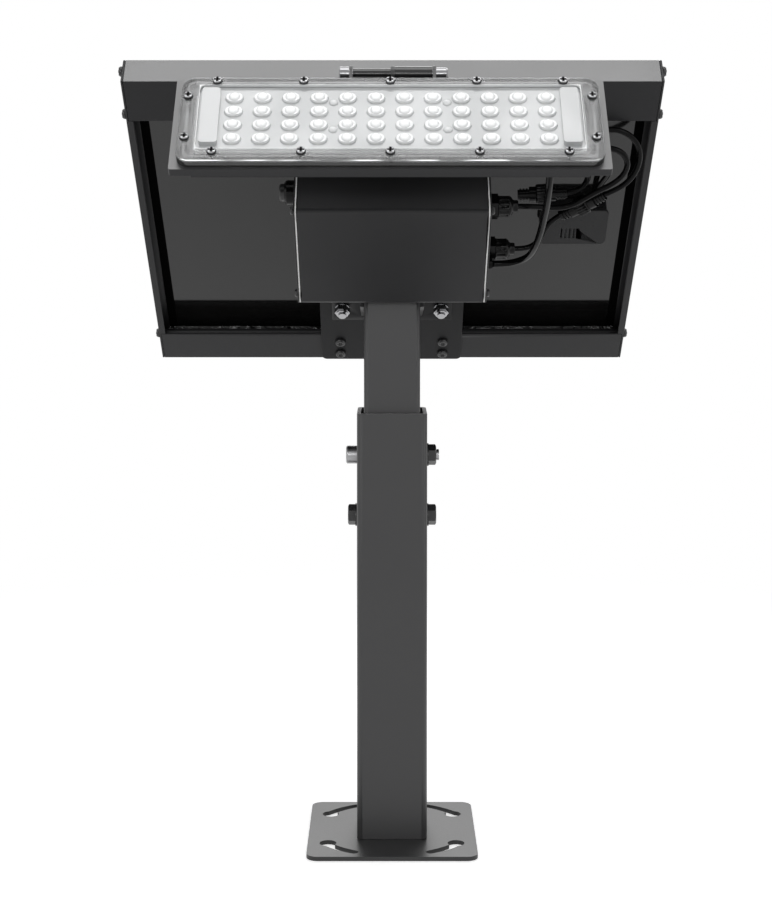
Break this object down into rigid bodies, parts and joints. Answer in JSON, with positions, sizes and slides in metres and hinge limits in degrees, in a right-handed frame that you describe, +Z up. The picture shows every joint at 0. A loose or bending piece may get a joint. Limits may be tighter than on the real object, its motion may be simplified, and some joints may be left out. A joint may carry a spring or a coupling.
{
  "type": "solar sign light",
  "caption": "Solar sign light on a telescopic square post: tilted panel with battery box behind, tilting lamp with a moulded lens cover above, base plate with keyhole slots.",
  "frame": {"origin": "centre of the base plate's underside, on the post's axis", "axes": "+Z up the post, -Y towards the side that the lamp and the panel's back face, +X to the right seen from there"},
  "size_m": [0.3632, 0.3173, 0.5513],
  "materials": {
    "post_grey": "dark grey powder coat on steel",
    "frame_grey": "dark grey powder coat on aluminium",
    "box_grey": "dark grey powder coat on aluminium",
    "lamp_grey": "dark grey powder coat on die-cast aluminium",
    "bright_steel": "bright plated steel",
    "black_steel": "black oxide steel",
    "panel_glass": "clear toughened glass",
    "solar_cell": "dark blue-black silicon cells",
    "backsheet": "glossy black back sheet",
    "sealant": "black silicone, glossy",
    "black_plastic": "black moulded plastic",
    "button_plastic": "black moulded plastic",
    "black_rubber": "black rubber",
    "white_gasket": "white silicone sheet",
    "battery_wrap": "heat-shrink wrapped cells",
    "inner_plastic": "black moulded plastic",
    "circuit_board": "green circuit board",
    "white_board": "white solder mask",
    "led_yellow": "phosphor-coated chips",
    "white_plastic": "white moulded plastic",
    "clear_plastic": "clear moulded polycarbonate"
  },
  "bodies": {
    "base": {"base_plate": "post_grey", "outer_post": "post_grey", "upper_post_bolt": "bright_steel", "lower_post_bolt": "black_steel", "post_nuts": "black_steel"},
    "head": {"inner_post": "post_grey", "yoke_bracket": "post_grey", "spine_plate": "post_grey", "hinge_bracket": "post_grey", "top_rail": "frame_grey", "bottom_rail": "frame_grey", "left_rail": "frame_grey", "right_rail": "frame_grey", "box_body": "box_grey", "box_end_left": "box_grey", "box_end_right": "box_grey", "yoke_bolts": "bright_steel", "yoke_nuts": "bright_steel", "yoke_washers": "bright_steel", "hinge_bolt": "bright_steel", "hinge_nut": "bright_steel", "spine_screws": "black_steel", "frame_screws": "black_steel", "box_end_screws": "black_steel", "panel_glass": "panel_glass", "solar_cells": "solar_cell", "backsheet": "backsheet", "sealant_bead": "sealant", "junction_box": "black_plastic", "junction_lid": "black_plastic", "button_bezel": "black_plastic", "locknuts": "black_plastic", "cable_glands": "black_plastic", "gland_domes": "black_plastic", "connector_plugs": "black_plastic", "connector_rings": "black_plastic", "connector_socket": "black_plastic", "connector_cap": "black_plastic", "hinge_spacers": "black_plastic", "lamp_grommet": "black_rubber", "supply_lead": "black_rubber", "panel_lead": "black_rubber", "spare_lead": "black_rubber", "lamp_cable": "black_rubber", "box_gaskets": "white_gasket", "battery_cells": "battery_wrap", "battery_holder": "inner_plastic", "controller_board": "circuit_board"},
    "lamp": {"lamp_housing": "lamp_grey", "lamp_gasket": "black_rubber", "led_board": "white_board", "led_chips": "led_yellow", "wire_covers": "white_plastic", "lens_cover": "clear_plastic", "lens_screws": "bright_steel", "board_screws": "bright_steel", "lamp_cable_box": "black_plastic", "lamp_bracket": "post_grey", "lamp_bracket_screws": "bright_steel"},
    "button": {"power_button": "button_plastic"}
  },
  "joints": [
    {"name": "post_slide", "type": "slide", "parent": "base", "child": "head", "axis": [0, 0, 1], "range_m": [-0.03, 0.1]},
    {"name": "lamp_tilt", "type": "hinge", "parent": "head", "child": "lamp", "pos_m": [0, -0.1237, 0.53963], "axis": [-1, 0, 0], "range_deg": [-25, 10], "deforming": ["lamp_cable"]},
    {"name": "button_press", "type": "slide", "parent": "head", "child": "button", "axis": [1, 0, 0], "range_m": [0, 0.002], "stiffness_N_per_m": 600}
  ]
}
